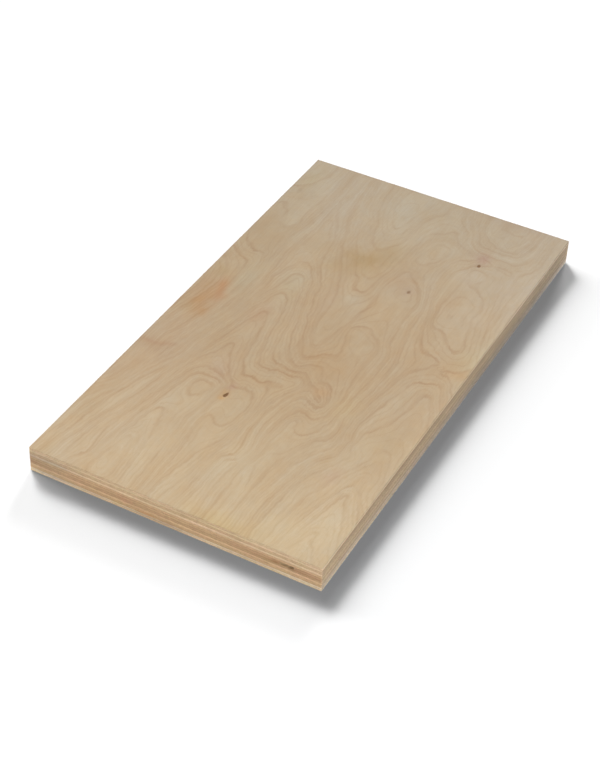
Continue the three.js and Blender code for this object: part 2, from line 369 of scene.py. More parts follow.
# The same for the glue and for the wear of the arrises, and where the pores and the knots begin and end.
GLUE_STRENGTH = (0.35, 0.6, 0.3, 1.0)
WEAR_STRENGTH = (0.3, 0.7, 0.5, 1.0)
PORES = (0.6, 0.74)
KNOTS = (0.1, 0.85)
BANDS_PER_RING = 0.9
# The back: rings per millimetre across it, how far they bend, and where their line begins, peaks and ends.
BACK_RINGS = 0.03
BACK_BEND = 9.0
BACK_LINE = (0.0, 0.12, 0.4)
BACK_LINE_SHARE = 0.7

# --- Noises of the wood: swells per millimetre in x, y and z, detail, roughness ---

NOISES = {
    "columns": ((1.6, 0.045, 0.2), 3, 0.6),
    "ripple": ((0.2, 0.11, 0.1), 3, 0.6),
    "sway": ((0.1, 0.06, 0.1), 3, 0.55),
    "patches": ((0.07, 0.035, 0.1), 2, 0.5),
    "between": ((0.05, 0.03, 0.1), 1, 0.5),
    "fibres": ((2.4, 0.05, 0.3), 5, 0.7),
    "pores": ((4.5, 0.28, 0.3), 2, 0.6),
    "clouds": ((0.03, 0.021, 0.1), 5, 0.85),
    "blush": ((0.045, 0.033, 0.1), 5, 0.85),
    "back_bend": ((0.02, 0.006, 0.1), 3, 0.5),
    "back_clouds": ((0.035, 0.018, 0.1), 3, 0.5),
    "edge_streaks": ((0.9, 0.035, 3.5), 4, 0.65),
    "edge_fibres": ((4.0, 0.25, 16.0), 3, 0.7),
    "edge_patches": ((0.05, 0.05, 0.4), 2, 0.5),
    "edge_hue": ((0.12, 0.12, 0.6), 3, 0.7),
    "edge_mottle": ((0.5, 0.5, 1.3), 4, 0.7),
    "glue_breaks": ((0.3, 0.3, 0.3), 3, 0.5),
    "wear": ((0.15, 0.15, 0.3), 3, 0.5),
}
BAND_PLACE = (0.03, 0.012, 0.1)  # of the bands that follow the rings
BAND_NOISE = (4, 0.7)

# --- Colours ---


def srgb(red, green, blue):
    """A colour written as 0-255 screen values, as linear values."""

    def linear(c):
        return c / 12.92 if c <= 0.04045 else ((c + 0.055) / 1.055) ** 2.4

    return tuple(linear(c / 255) for c in (red, green, blue))


# Lighter near the front, darker and greyer far off: partly the veneer's own tone, partly painted shade.
NEAR_TO_MIDDLE = (0.0, 0.45)  # where the face's tone changes, as shares of its length
MIDDLE_TO_FAR = (0.55, 1.0)
FACE_NEAR = srgb(196, 173, 139)
FACE_MIDDLE = srgb(180, 156, 123)
FACE_FAR = srgb(173, 156, 130)
KNOT_COLOUR = srgb(112, 76, 34)
HOLE_COLOUR = srgb(158, 130, 95)
GLUE_COLOUR = srgb(120, 92, 64)
# Drifts of tone: how far their noise strays from its middle, and two colours that multiply the wood's.
DRIFTS = {
    "bands": (0.17, (0.982, 0.957, 0.926), (1.019, 1.044, 1.077)),
    "clouds": (0.14, (0.986, 0.968, 0.944), (1.015, 1.035, 1.06)),
    "blush": (0.15, (0.98, 0.992, 1.016), (1.02, 1.008, 0.984)),
    "edge_hue": (0.15, (1.03, 0.975, 0.98), (0.99, 1.01, 0.95)),
    "edge_mottle": (0.16, (0.9, 0.895, 0.89), (1.095, 1.1, 1.105)),
}
EDGE_PATCHES = ((0.86, 0.84, 0.82), (1.12, 1.13, 1.14))  # two such colours, for the noise as it is
# Other colours that multiply the wood's.
FIBRE = (0.95, 0.93, 0.9)
BACK_FIBRE = (0.92, 0.91, 0.89)
PORE = (0.82, 0.78, 0.72)
RING_LINE = (0.9, 0.838, 0.785)
RING_HALO = (0.985, 0.96, 0.935)
# The arrises' grey: handling wear, and painted shade that damps the highlight on their rounding.
ARRIS_WEAR_AND_SHADE = (0.86, 0.87, 0.91)
# The left and the far arris are handled more than the other two: strength, and reach over the face.
FAR_WEAR = (1.0, 0.6)
# On the near and the right arris the grey is partly painted shade.
NEAR_WEAR_AND_SHADE = (0.36, 0.2)
# Darkest and brightest tone of a sawn edge along the fibres and across them, times its colour.
SIDE_SWING = (0.86, 1.1)
END_SWING = (0.72, 1.22)
# Side grain and end grain of each veneer's sawn edges, from the face down.
EDGE_TONES = (
    (srgb(219, 190, 156), srgb(196, 168, 134)),
    (srgb(198, 173, 140), srgb(172, 145, 112)),
    (srgb(176, 152, 123), srgb(188, 160, 126)),
    (srgb(207, 181, 148), srgb(181, 153, 119)),
    (srgb(189, 163, 132), srgb(190, 158, 121)),
    (srgb(184, 152, 117), srgb(185, 156, 121)),
    (srgb(193, 167, 137), srgb(178, 145, 110)),
    (srgb(205, 171, 134), srgb(186, 158, 126)),
    (srgb(198, 173, 146), srgb(194, 160, 121)),
    # The lowest two veneers are lighter: partly painted light that offsets the shade next to the floor.
    (srgb(212, 187, 156), srgb(194, 169, 141)),
    (srgb(216, 194, 170), srgb(229, 198, 158)),
)
GLUE_SEAM = 0.09  # height of the dark glue next to a glue line, as a share of the veneer's
LONG_EDGE_GLUE = -0.45  # how much fainter it is on the long edges
GLUE_DEPTH = 0.6  # of its relief
ROUGHNESS = (0.2, 0.8, 0.52, 0.66)  # from the noise of the fibres
EDGE_ROUGHNESS = 0.75
BUMP_HEIGHT = 0.06

# --- Stage ---

FLOOR_SIZE = 12.0  # metres
FLOOR_DROP = 0.02
WHITE = (1.0, 1.0, 1.0)
FLOOR_GLOW = 0.037
GLOW_COLOUR = (1.0, 0.86, 0.7)
# Suns from the far left: name, bearing from +X, height over the floor, share of a white floor's light,
# width. All angles are in degrees.
KEYS = (
    ("key", 144.0, 35.0, 0.36, 29.0),
    ("high_key", 137.0, 43.0, 0.25, 14.0),
    ("left_key", 171.0, 18.0, 0.095, 12.0),
    ("rear_key", 103.0, 20.0, 0.16, 14.0),
)
# Low lamps light the two sawn edges in view and hardly reach the floor: place and size in metres, power,
# colour.
FILLS = (
    ("front_fill", (-0.35, -1.3, 0.045), (0.9, 0.06), 7.0, (1.0, 0.98, 0.95)),
    ("right_fill", (0.75, -0.45, 0.045), (0.5, 0.06), 4.0, (0.84, 0.98, 1.18)),
)
ROOM_LIGHT = 0.14
# The camera was fitted to the corners of the board in the photograph.
CAMERA_LENS = 107.576
CAMERA_SENSOR = 36.0
CAMERA_PLACE = (332.501, -677.549, 614.030)
CAMERA_TURN = 26.864  # degrees from +Y towards -X
CAMERA_DIP = 40.155  # degrees below the horizon
CAMERA_ROLL = 2.556

# --- Smooth noise over a plane, for meshes ---

LATTICE = 64  # points of the noise's grid along a side, after which it repeats
# Length of the waves, and seed.
SWELLS = {
    "arris": (14, 31),
    "arris_ripple": (2.3, 32),
    "glue": (21, 50),
    "glue_ripple": (5, 70),
    "ridges": (0.9, 100),
    "torn": (1.3, 101),
    "hole": (0.8, 5),
    "bowl": (0.5, 9),
    "stain_x": (11, 41),
    "stain_x_ripple": (4, 42),
    "stain_y": (15, 43),
    "stain_y_ripple": (5, 44),
    "edge_stain": (2.5, 44),
}


def swell(x, y, name, number=0):
    """Smooth random waves from -1 to 1, others for every number."""
    length, seed = SWELLS[name]
    lattice = np.random.default_rng(seed + number).uniform(-1, 1, (LATTICE, LATTICE))
    u, v = np.broadcast_arrays(np.asarray(x, float) / length, np.asarray(y, float) / length)
    iu, iv = np.floor(u).astype(int), np.floor(v).astype(int)
    fu, fv = u - iu, v - iv
    fu, fv = fu * fu * (3 - 2 * fu), fv * fv * (3 - 2 * fv)

    def corner(a, b):
        return lattice[(iu + a) % LATTICE, (iv + b) % LATTICE]

    low = corner(0, 0) * (1 - fu) + corner(1, 0) * fu
    high = corner(0, 1) * (1 - fu) + corner(1, 1) * fu
    return low * (1 - fv) + high * fv


# --- Growth-ring height field ---

CHUNK = 4000  # places worked out at a time


def along(points, step):
    """The points of a polyline, with more put between them at about every `step`."""
    out = []
    for (x0, y0), (x1, y1) in zip(points[:-1], points[1:]):
        parts = max(1, round(math.hypot(x1 - x0, y1 - y0) / step))
        out += [(x0 + (x1 - x0) * k / parts, y0 + (y1 - y0) * k / parts) for k in range(parts)]
    return out + [points[-1]]


def thin_plate(r2):
    """The shape of a thin plate that is bent at one point, from the square of the distance to it."""
    return 0.5 * r2 * np.log(r2 + 1e-9)


def ring_field(x, y):
    """Height of the thin-plate surface through the rings, at the places x, y."""
    places, levels = [], []
    for level, *points in RINGS:
        ring = along(np.reshape(points, (-1, 2)), RING_STEP)
        places += ring
        levels += [level] * len(ring)
    for px, py, level in RING_SPOTS:
        places.append((px, py))
        levels.append(level)
    q = np.array(places, float) / RING_SCALE
    n = len(q)
    system = np.zeros((n + 3, n + 3))
    system[:n, :n] = thin_plate(((q[:, None] - q[None]) ** 2).sum(-1))
    system[range(n), range(n)] += RING_SLACK
    system[:n, n] = system[n, :n] = 1
    system[:n, n + 1 :] = q
    system[n + 1 :, :n] = q.T
    weights = np.linalg.solve(system, np.r_[levels, 0, 0, 0])
    px, py = x.ravel() / RING_SCALE, y.ravel() / RING_SCALE
    height = weights[n] + weights[n + 1] * px + weights[n + 2] * py
    for start in range(0, px.size, CHUNK):
        part = slice(start, start + CHUNK)
        r2 = (px[part, None] - q[:, 0]) ** 2 + (py[part, None] - q[:, 1]) ** 2
        height[part] += thin_plate(r2) @ weights[:n]
    return height.reshape(x.shape)


# --- The outline ---


def side_lines(length, step, extra=()):
    """Places of the grid lines across a side, from one edge to the other."""
    half = length / 2
    inner = half - EASED_STEPS[-1]
    count = round(2 * inner / step)
    lines = [*np.linspace(-inner, inner, count + 1), *extra]
    lines += [side * (half - inset) for inset in EASED_STEPS[:-1] for side in (-1, 1)]
    lines.sort()
    kept = lines[:1]
    for place in lines[1:]:
        if place - kept[-1] > LEAST_STEP:
            kept.append(place)
    return np.array(kept)


def round_corners(x, y):
    """Moves the points of a grid over the rectangle so that its corners are round."""
    cx, cy = WIDTH / 2 - CORNER_RADIUS, LENGTH / 2 - CORNER_RADIUS
    u = np.maximum(np.abs(x) - cx, 0) / CORNER_RADIUS
    v = np.maximum(np.abs(y) - cy, 0) / CORNER_RADIUS
    u2, v2 = u * np.sqrt(1 - v * v / 2), v * np.sqrt(1 - u * u / 2)
    x2 = np.sign(x) * (cx + u2 * CORNER_RADIUS)
    y2 = np.sign(y) * (cy + v2 * CORNER_RADIUS)
    return np.where(u > 0, x2, x), np.where(v > 0, y2, y)


def ring_of(grid):
    """The border of a grid of values, anticlockwise from its first corner."""
    return np.concatenate([grid[:-1, 0], grid[-1, :-1], grid[:0:-1, -1], grid[0, :0:-1]])


def outline_of(grid_x, grid_y):
    """The border of a grid of places, and its outward normals: x, y, nx, ny."""
    x, y = ring_of(grid_x), ring_of(grid_y)
    dx, dy = np.roll(x, -1) - np.roll(x, 1), np.roll(y, -1) - np.roll(y, 1)
    size = np.hypot(dx, dy)
    return x, y, dy / size, -dx / size


def rim():
    """The outline of the board."""
    xs, ys = side_lines(WIDTH, RIM_STEP), side_lines(LENGTH, RIM_STEP)
    return outline_of(*round_corners(*np.meshgrid(xs, ys, indexing="ij")))


def arris(x, y):
    """Radius of the rounding between a face and the edges, which the sander left uneven."""
    wear = 0.5 + 0.3 * swell(x, y, "arris") + 0.2 * swell(x, y, "arris_ripple")
    return ARRIS_RADIUS_LEAST + (ARRIS_RADIUS - ARRIS_RADIUS_LEAST) * np.clip(wear, 0, 1)


def arris_wear_and_shade(x, y):
    """How grey a place near the arrises is, 0 to 1: wear, and on the near and right arris partly painted
    shade.
    """
    insets = np.minimum(WIDTH / 2 + x, LENGTH / 2 - y), np.minimum(WIDTH / 2 - x, LENGTH / 2 + y)
    wears = zip(insets, (FAR_WEAR, NEAR_WEAR_AND_SHADE))
    return np.maximum(*(share * np.exp(-((inset / reach) ** 2)) for inset, (share, reach) in wears))


def glue_level(x, y, number):
    """Height of the top of veneer `number`, counted from 0 at the face."""
    if number == 0:
        return np.full(np.shape(x), THICKNESS)
    if number == len(VENEERS):
        return np.zeros(np.shape(x))
    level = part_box(VENEERS[number])[1].z / MM
    wave = 0.7 * swell(x, y, "glue", number) + 0.3 * swell(x, y, "glue_ripple", number)
    return level + GLUE_WAVE * wave


def saw_marks(x, y, z, end_grain, number):
    """How deep the saw cut into an edge of a veneer: fine ridges, and torn fibres in end grain."""
    ridges = 0.5 + 0.5 * swell(x + y, z, "ridges", number)
    torn = np.clip(swell(x + y, z * 3, "torn", number) - 0.25, 0, 1)
    return SAW_DEPTH * (SAW_RIDGES * ridges + end_grain * (END_GRAIN_CUT + TORN_FIBRES * torn))


# --- Meshes ---


def folded(count, heights, strip):
    """Places on the bake's map of a ring of quads, in a strip that is folded into rows."""
    rows, low, high = strip
    start = np.arange(count) * rows / count
    row = np.floor(start + 1e-9)
    scale = (1 - 2 * MAP_MARGIN) / (1 + rows / count)
    left = MAP_MARGIN + scale * (start - row)
    right = left + scale * rows / count
    filled = 1 - 2 * ROW_GAP
    bottom, top = (low + (high - low) * (row + ROW_GAP + filled * t) / rows for t in heights)
    return np.stack([left, bottom, right, bottom, right, top, left, top], -1).reshape(-1, 2)


def cells(table):
    """The corners of every cell of a grid, anticlockwise."""
    return np.stack([table[:-1, :-1], table[1:, :-1], table[1:, 1:], table[:-1, 1:]], 2)


class Solid:
    """Points, faces and values at the points of one piece, gathered row by row."""

    def __init__(self):
        self.points, self.values, self.faces = [], [], []
        self.maps = []  # places on the bake's map of the faces' corners
        self.count = 0

    def add(self, x, y, z, **values):
        x, y, z = np.broadcast_arrays(x, y, z)
        self.points.append(np.stack([x.ravel(), y.ravel(), z.ravel()], -1))
        self.values.append({name: np.broadcast_to(v, x.shape).ravel() for name, v in values.items()})
        self.count += x.size
        return np.arange(self.count - x.size, self.count)

    def sawn_row(self, outline, z, depth, **values):
        """A row of points round a sawn edge, pushed in by the depth of the saw's marks."""
        x, y, nx, ny = outline
        values.update(edge_tint(x, y, z, nx, ny), long_edge=nx**2)
        return self.add(x - nx * depth, y - ny * depth, z, **values)

    def band(self, lower, upper, heights, strip):
        """Joins two closed rings that run anticlockwise, seen from above. Heights are those in the strip."""
        self.faces += np.stack([lower, np.roll(lower, -1), np.roll(upper, -1), upper], -1).tolist()
        self.maps.append(folded(len(lower), heights, strip))

    def grid(self, ids, u, v):
        """Joins a grid of points."""
        self.faces += cells(ids).reshape(-1, 4).tolist()
        self.maps.append(cells(np.stack([u, v], -1)).reshape(-1, 2))

    def lid(self, ring, x, y, up, field):
        """Closes a ring. On the map its length lies along u, in a field (u, v, width, height)."""
        u, v, width, height = field
        spot = np.stack([u + width * (y / LENGTH + 0.5), v + height * (x / WIDTH + 0.5)], -1)
        turn = 1 if up else -1
        self.faces.append(ring[::turn].tolist())
        self.maps.append(spot[::turn])

    def piece(self, name, material):
        mesh = bpy.data.meshes.new(name)
        points = np.concatenate(self.points) * MM
        mesh.from_pydata(points.tolist(), [], self.faces)
        bake_map = mesh.uv_layers.new(name="OFBake")
        bake_map.uv.foreach_set("vector", np.concatenate(self.maps).astype(np.float32).ravel())
        for value_name in sorted({key for values in self.values for key in values}):
            rows = zip(self.values, self.points)
            parts = [values.get(value_name, np.zeros(len(places))) for values, places in rows]
            layer = mesh.attributes.new(value_name, "FLOAT", "POINT")
            layer.data.foreach_set("value", np.concatenate(parts).astype(np.float32))
        mesh.validate()
        mesh.materials.append(material)
        mesh.polygons.foreach_set("use_smooth", [len(p.vertices) == 4 for p in mesh.polygons])
        mesh.set_sharp_from_angle(angle=math.radians(SHARP_ANGLE))
        piece = bpy.data.objects.new(name, mesh)
        bpy.context.scene.collection.objects.link(piece)
        return piece


def blot(x, y, place, size, turn=0, sharpness=1.0):
    """A soft spot from 1 at its place to 0 outside, turned by degrees."""
    c, s = math.cos(math.radians(turn)), math.sin(math.radians(turn))
    dx, dy = x - place[0], y - place[1]
    u, v = (c * dx + s * dy) / size[0], (-s * dx + c * dy) / size[1]
    return np.exp(-((u * u + v * v) ** sharpness))


def stain(tint, colour, share):
    """Adds a share of a stain's colour to the tint."""
    for channel, level in zip(TINTS, colour):
        tint[channel] = tint[channel] * (1 + (level - 1) * share)


def edge_tint(x, y, z, nx, ny):
    """Colour of the stains on the front and the right edge, and of the light painted on the right edge."""
    tint = dict.fromkeys(TINTS, 1.0)
    ragged = swell(x + y, z * 3, "edge_stain")
    for stains, run, facing in ((FRONT_STAINS, x, -ny), (RIGHT_STAINS_AND_PAINTED_LIGHT, y, nx)):
        for place, size, colour in stains:
            strayed = (run + ragged * size[0] * EDGE_RAGGED[0], z + ragged * size[1] * EDGE_RAGGED[1])
            stain(tint, colour, blot(*strayed, place, size) * np.clip(facing, 0, 1))
    return tint


def end_grain_share(outline, node):
    """1 where the saw crossed a veneer's fibres, 0 where it ran along them."""
    nx, ny = outline[2:]
    return nx**2 if GRAIN[node] == "x" else ny**2


def bowl(x, z, t):
    """The knot hole's reach at height t in its veneer, as a share of its reach at mid height."""
    share = BOWL_LEAST + (1 - BOWL_LEAST) * math.sin(math.pi * t)
    return np.clip(share - WALL_RELIEF * np.abs(swell(x, z, "bowl")), 0.05, 1)


def inner_veneer(node, outline, knot=0.0):
    """A sawn edge between two glue lines, and a lid on both. `knot` is 1 in the hole of the core."""
    number = VENEERS.index(node)
    x, y, nx, ny = outline
    end_grain = np.maximum(end_grain_share(outline, node), knot)
    bottom, top = glue_level(x, y, number + 1), glue_level(x, y, number)
    solid = Solid()
    rows, reached = [], 0.0
    for t in INNER_ROWS:
        z = bottom + (top - bottom) * t
        depth = saw_marks(x, y, z, end_grain, number) + SAW_DEPTH * GLUE_GROOVE * abs(2 * t - 1) ** 6
        wall = y - knot * (y + LENGTH / 2) * (1 - bowl(x, z, t))
        row = solid.sawn_row((x, wall, nx, ny), z, depth, across=t, end_grain=end_grain, knot=knot)
        if rows:
            solid.band(rows[-1], row, (reached, t), INNER_STRIP)
        rows.append(row)
        reached = t
    solid.lid(rows[0], x, y, False, LOWER_LID)
    solid.lid(rows[-1], x, y, True, UPPER_LID)
    return solid


def lobe_depth(x, centre, half, reach):
    """How far a lobe of the core's hole reaches in from the front edge, at a place along it."""
    return reach * math.sqrt(max(0.0, 1 - ((x - centre) / half) ** 2))


def hole_wall():
    """The outline along the wall of the hole, from left to right, evenly by angle in each lobe.

    It has no normals, so that no saw mark reaches it.
    """
    wall = []
    for centre, half, reach in KNOT_HOLE_LOBES:
        for angle in np.linspace(math.pi, 0, HOLE_POINTS + 1):
            x, depth = centre + half * math.cos(angle), reach * math.sin(angle)
            if depth >= max(lobe_depth(x, *lobe) for lobe in KNOT_HOLE_LOBES) - 1e-6:
                wall.append((x, depth))
    x, depth = np.array(wall).T
    wander = HOLE_WANDER * swell(x, depth - LENGTH / 2, "hole") * np.clip(depth / 0.5, 0, 1)
    return x + wander, depth - LENGTH / 2 + np.abs(wander), np.zeros(len(x)), np.zeros(len(x))


def core_veneer(node):
    """The core: its outline turns into the hole of a knot that the saw opened on the front edge."""
    outline = rim()
    x, y = outline[:2]
    front = y < -LENGTH / 2 + 0.2
    low = min(centre - half for centre, half, _ in KNOT_HOLE_LOBES)
    high = max(centre + half for centre, half, _ in KNOT_HOLE_LOBES)
    before, after = np.flatnonzero(front & (x < low)), np.flatnonzero(front & (x > high))
    last_before, first_after = before[np.argmax(x[before])], after[np.argmin(x[after])]
    keep = (first_after + np.arange((last_before - first_after) % len(x) + 1)) % len(x)
    whole = [np.r_[sawn[keep], wall] for sawn, wall in zip(outline, hole_wall())]
    return inner_veneer(node, whole, (np.arange(len(whole[0])) >= len(keep)).astype(float))


def carved(flat_x, flat_y, x, y, up):
    """Depth of an outer veneer's surface under its level: rounded arrises, and the pits of pin knots."""
    radius = arris(x + (0 if up else BACK_SHIFT), y)
    inset = np.minimum(WIDTH / 2 - abs(flat_x), LENGTH / 2 - abs(flat_y))
    short = np.clip(radius - inset, 0, None)
    depth = radius - np.sqrt(np.clip(radius**2 - short**2, 0, None))
    for place, size, pit, _ in PIN_KNOTS if up else ():
        depth += pit * blot(x, y, place, size)
    return depth


def outer_veneer(node, up):
    """Face or back: a fine grid with eased arrises, over the sawn edge of the veneer."""
    number = VENEERS.index(node)
    step, knots = (FACE_STEP, PIN_KNOTS) if up else (BACK_STEP, ())
    xs = side_lines(WIDTH, step, [kx + line for (kx, ky), *_ in knots for line in PIN_LINES_X])
    ys = side_lines(LENGTH, step, [ky + line for (kx, ky), *_ in knots for line in PIN_LINES_Y])
    flat_x, flat_y = np.meshgrid(xs, ys, indexing="ij")
    gx, gy = round_corners(flat_x, flat_y)
    depth = carved(flat_x, flat_y, gx, gy, up)
    z = THICKNESS - depth if up else depth
    solid = Solid()
    values = figure(gx, gy, xs, ys) if up else dict.fromkeys(TINTS, 1.0)
    values.update(across=1.0 if up else 0.0, wear=arris_wear_and_shade(flat_x, flat_y))
    ids = solid.add(gx, gy, z, **values).reshape(gx.shape)
    map_u = MAP_MARGIN + (1 - 2 * MAP_MARGIN) * (gx / WIDTH + 0.5)
    map_v = OUTER_GRID_START + (1 - MAP_MARGIN - OUTER_GRID_START) * (gy / LENGTH + 0.5)
    seen = np.s_[:, :: 1 if up else -1]  # counts the columns so that the faces look outward
    solid.grid(ids[seen], map_u[seen], map_v[seen])
    outline = outline_of(gx, gy)
    x, y = outline[:2]
    end_grain = end_grain_share(outline, node)
    glue, brim = glue_level(x, y, number + 1 if up else number), ring_of(z)
    previous, reached = ring_of(ids), 0.0
    for t in OUTER_ROWS:
        level = brim + (glue - brim) * t
        depth = saw_marks(x, y, level, end_grain, number) * min(1.0, 3 * t)
        shares = {"across": 1 - t if up else t, "rim": 1.0, "wear": arris_wear_and_shade(x, y) * (1 - t)}
        row = solid.sawn_row(outline, level, depth, end_grain=end_grain, **shares)
        if up:
            solid.band(row, previous, (t, reached), OUTER_STRIP)
        else:
            solid.band(previous, row, (reached, t), OUTER_STRIP)
        previous, reached = row, t
    solid.lid(previous, x, y, not up, OUTER_LID)
    return solid


def figure(x, y, xs, ys):
    """Values over the face: ring height, its slopes per millimetre, strength, knots and stains."""
    height = ring_field(x, y)
    tint = dict.fromkeys(TINTS, 1.0)
    ragged_x = swell(x, y, "stain_x") + 0.6 * swell(x, y, "stain_x_ripple")
    ragged_y = swell(x, y, "stain_y") + 0.6 * swell(x, y, "stain_y_ripple")
    for place, size, colour, *turn in STAINS:
        stray = STAIN_RAGGED * min(size)
        stain(tint, colour, blot(x + stray * ragged_x, y + stray * ragged_y, place, size, *turn))
    strength = 1.0
    for place, size, factor in RING_STRENGTH:
        strength = strength * (1 + (factor - 1) * blot(x, y, place, size))
    knot = 0.0
    for place, size, _, darkness in PIN_KNOTS:
        knot = knot + darkness * blot(x, y, place, size, sharpness=PIN_SHARPNESS)
    return {
        "ring": height,
        "ring_x": np.gradient(height, xs, axis=0),
        "ring_y": np.gradient(height, ys, axis=1),
        "ring_strength": strength,
        "knot": knot,
        **tint,
    }


# --- Materials ---

# Numbers of the Mix node's sockets for colours: share, first and second colour, result.
MIX_SHARE, MIX_FIRST, MIX_SECOND, MIX_RESULT = 0, 6, 7, 2


class Nodes:
    """Short calls that add shader nodes to one material or world."""

    def __init__(self, owner):
        self.owner = owner
        owner.use_nodes = True
        self.tree = owner.node_tree
        self.tree.nodes.clear()

    def add(self, kind, inputs=(), **settings):
        """A new node. Its inputs, by name or number, get a value or a link from a socket."""
        node = self.tree.nodes.new(f"ShaderNode{kind}")
        for key, value in settings.items():
            setattr(node, key, value)
        for key, value in dict(inputs).items():
            socket = node.inputs[key]
            if isinstance(value, bpy.types.NodeSocket):
                self.tree.links.new(value, socket)
            else:
                socket.default_value = (*value, 1.0) if socket.type == "RGBA" else value
        return node

    def math(self, operation, *values):
        return self.add("Math", enumerate(values), operation=operation).outputs[0]

    def times(self, first, *others):
        """The product of two values or more."""
        for other in others:
            first = self.math("MULTIPLY", first, other)
        return first

    def value(self, name):
        """The value that the mesh holds under a name."""
        return self.add("Attribute", attribute_name=name).outputs["Fac"]

    def place(self, scale):
        """Object place in millimetres, times a scale on each axis."""
        inputs = self.add("TexCoord").outputs["Object"], tuple(s / MM for s in scale)
        return self.add("VectorMath", enumerate(inputs), operation="MULTIPLY").outputs[0]

    def axes(self, place):
        """The coordinates of a place, by name."""
        return self.add("SeparateXYZ", {0: place}).outputs

    def texture(self, place, detail, roughness):
        """Noise from 0 to 1, 0.5 on average, one swell per unit of `place`."""
        inputs = {"Vector": place, "Scale": 1.0, "Detail": detail, "Roughness": roughness}
        return self.add("TexNoise", inputs, noise_dimensions="3D").outputs[0]

    def noise(self, name, grain="y"):
        """One of the wood's noises, turned a quarter where the grain follows x."""
        (x, y, z), detail, roughness = NOISES[name]
        scale = (y, x, z) if grain == "x" else (x, y, z)
        return self.texture(self.place(scale), detail, roughness)

    def ramp(self, value, low, high, to_low=0.0, to_high=1.0):
        """Maps low..high to to_low..to_high, smoothly and clamped."""
        inputs = {"Value": value, "From Min": low, "From Max": high, "To Min": to_low, "To Max": to_high}
        return self.add("MapRange", inputs, interpolation_type="SMOOTHSTEP").outputs[0]

    def spread(self, value, reach):
        """Widens a noise's range of `reach` on both sides of its middle to 0..1."""
        return self.ramp(value, 0.5 - reach, 0.5 + reach)

    def mix(self, share, first, second, blend="MIX"):
        inputs = {MIX_SHARE: share, MIX_FIRST: first, MIX_SECOND: second}
        return self.add("Mix", inputs, data_type="RGBA", blend_type=blend).outputs[MIX_RESULT]

    def tint(self, wood, colour, share=1.0):
        """The wood's colour with a share of another multiplied in."""
        return self.mix(share, wood, colour, "MULTIPLY")

    def drift(self, wood, name, noise):
        """The wood's colour with one of its drifts of tone."""
        reach, *colours = DRIFTS[name]
        return self.tint(wood, self.mix(self.spread(noise, reach), *colours))

    def swing(self, share, colour, factors):
        """A colour between its darkest and its brightest tone."""
        return self.mix(share, *(tuple(c * factor for c in colour) for factor in factors))

    def surface(self, shader):
        """Ends a material with its shader."""
        self.add("OutputMaterial", {"Surface": shader.outputs[0]})
        return self.owner

    def finish(self, colour, roughness, height, specular=0.12, bump=0.4):
        """Ends a material with bare wood, and a little relief from `height`, which is about 0 to 1."""
        relief = self.add("Bump", {"Strength": bump, "Distance": BUMP_HEIGHT * MM, "Height": height})
        inputs = {"Base Color": colour, "Roughness": roughness, "Specular IOR Level": specular}
        return self.surface(self.add("BsdfPrincipled", {**inputs, "Normal": relief.outputs[0]}))


def tinted(n, wood):
    """The wood's colour times that of its stains."""
    return n.tint(wood, n.add("CombineColor", enumerate(map(n.value, TINTS))).outputs[0])


def edge_wood(n, node):
    """A sawn edge: streaks where the saw ran along the fibres, mottled end grain across them.

    Gives its colour, the noise of its fibres and the place of its glue.
    """
    grain = GRAIN[node]
    side_colour, end_colour = EDGE_TONES[VENEERS.index(node)]
    fibres = n.noise("edge_fibres", grain)
    side = n.swing(n.spread(n.noise("edge_streaks", grain), 0.2), side_colour, SIDE_SWING)
    end = n.swing(n.spread(fibres, 0.2), end_colour, END_SWING)
    wood = n.mix(n.value("end_grain"), side, end)
    wood = n.tint(wood, n.mix(n.noise("edge_patches"), *EDGE_PATCHES))
    for name in ("edge_hue", "edge_mottle"):
        wood = n.drift(wood, name, n.noise(name))
    wood = tinted(n, wood)
    across = n.value("across")
    inside = n.times(n.ramp(across, 0.0, GLUE_SEAM), n.ramp(across, 1.0, 1 - GLUE_SEAM))
    seam = n.math("SUBTRACT", 1.0, inside)
    broken = n.ramp(n.noise("glue_breaks"), *GLUE_STRENGTH)
    fainter = n.math("MULTIPLY_ADD", n.value("long_edge"), LONG_EDGE_GLUE, 1.0)
    return n.mix(n.times(broken, fainter, seam), wood, GLUE_COLOUR), fibres, seam


def with_rim(n, wood, node):
    """An outer veneer's colour, with its sawn edge, and with the arrises grey from wear and from painted
    shade.
    """
    edge, *_ = edge_wood(n, node)
    # The arrises' grey: wear, and painted shade that damps the highlight of their rounding.
    wear = n.times(n.value("wear"), n.ramp(n.noise("wear"), *WEAR_STRENGTH))
    return n.tint(n.mix(n.value("rim"), wood, edge), ARRIS_WEAR_AND_SHADE, wear)


def along_board(n):
    """0 at the front edge, 1 at the far edge."""
    return n.math("ADD", n.axes(n.place((0, 1 / LENGTH, 0)))["Y"], 0.5)


def shift(n, noise, reach):
    """A noise with its middle at 0, times a reach."""
    return n.times(n.math("SUBTRACT", noise, 0.5), reach)


def ring_height(n, slope_x, slope_y):
    """Height of the rings' surface, each place moved a little, above all along the columns of fibre."""
    columns, sway = shift(n, n.noise("columns"), FIBRE_PUSH), shift(n, n.noise("sway"), SWAY_ALONG)
    height = n.math("MULTIPLY_ADD", slope_y, n.math("ADD", columns, sway), n.value("ring"))
    return n.math("MULTIPLY_ADD", slope_x, shift(n, n.noise("ripple"), RIPPLE_ACROSS), height)


def from_ring(n, height, slope):
    """Millimetres from the nearest ring, negative on its lower side."""
    phase = n.math("SUBTRACT", n.math("FRACT", n.math("ADD", height, 0.5)), 0.5)
    return n.math("DIVIDE", phase, slope)


